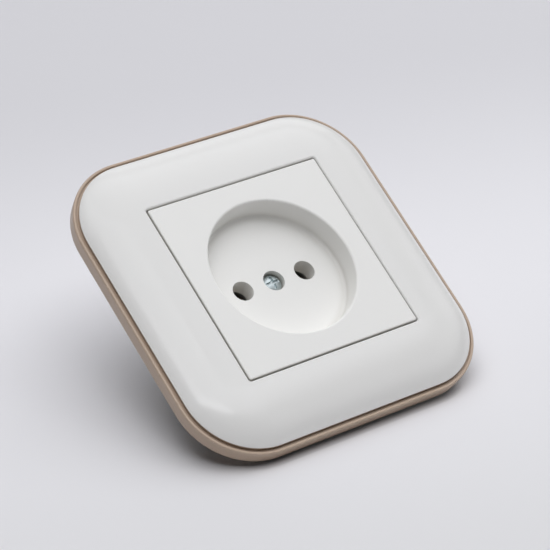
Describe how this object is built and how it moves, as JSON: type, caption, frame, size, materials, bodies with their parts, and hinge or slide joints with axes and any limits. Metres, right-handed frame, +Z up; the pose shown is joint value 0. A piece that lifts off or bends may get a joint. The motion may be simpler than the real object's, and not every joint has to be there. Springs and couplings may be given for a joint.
{
  "type": "unearthed wall socket",
  "caption": "Flush wall socket without earth: white pillow-shaped frame on a beige under-frame, square cover with a round plug recess, and a steel-framed mechanism with spreader claws.",
  "frame": {"origin": "centre of the support frame's back face, in the plane of the wall", "axes": "+Z up the wall, +X to the right as seen from the room, -Y out of the wall towards the room"},
  "size_m": [0.0876, 0.0295, 0.0876],
  "materials": {
    "white_gloss": "polished white moulding",
    "white_matt": "matt white moulding",
    "beige_satin": "satin beige moulding",
    "zinc_screw": "bright zinc plate with a blue cast",
    "zinc_plate": "pressed zinc plated steel",
    "insulator_white": "matt white moulding",
    "guard_black": "matt black moulding",
    "brass": "bright brass strip",
    "spring_steel": "bare spring steel",
    "claw_steel": "yellow tinted zinc plated steel"
  },
  "bodies": {
    "socket": {"front_frame": "white_gloss", "back_ring": "beige_satin", "centre_cover": "white_matt", "cover_screw": "zinc_screw", "support_frame": "zinc_plate", "frame_rivets": "zinc_plate", "insulator_base": "insulator_white", "contact_guard": "guard_black", "guard_screws": "zinc_screw", "threaded_bush": "brass", "right_contact": "brass", "right_sleeve_spring": "spring_steel", "right_clamp": "zinc_plate", "right_terminal_screw": "zinc_screw", "right_claw_pin": "spring_steel", "right_claw_screw": "zinc_screw", "left_contact": "brass", "left_sleeve_spring": "spring_steel", "left_clamp": "zinc_plate", "left_terminal_screw": "zinc_screw", "left_claw_pin": "spring_steel", "left_claw_screw": "zinc_screw"},
    "right_claw": {"right_claw": "claw_steel"},
    "left_claw": {"left_claw": "claw_steel"},
    "right_nut": {"right_claw_nut": "brass"},
    "left_nut": {"left_claw_nut": "brass"}
  },
  "joints": [
    {"name": "right_claw_hinge", "type": "hinge", "parent": "socket", "child": "right_claw", "pos_m": [0.0209, 0.0026, 0], "axis": [0, 0, -1], "range_deg": [0, 30]},
    {"name": "right_nut_slide", "type": "slide", "parent": "socket", "child": "right_nut", "axis": [0, -1, 0], "range_m": [0, 0.0021]},
    {"name": "left_claw_hinge", "type": "hinge", "parent": "socket", "child": "left_claw", "pos_m": [-0.0209, 0.0026, 0], "axis": [0, 0, 1], "range_deg": [0, 30]},
    {"name": "left_nut_slide", "type": "slide", "parent": "socket", "child": "left_nut", "axis": [0, -1, 0], "range_m": [0, 0.0021]}
  ],
  "couplings": [
    {"joint": "right_nut_slide", "follows": "right_claw_hinge", "m_per_rad": 0.00399},
    {"joint": "left_nut_slide", "follows": "left_claw_hinge", "m_per_rad": 0.00399}
  ]
}
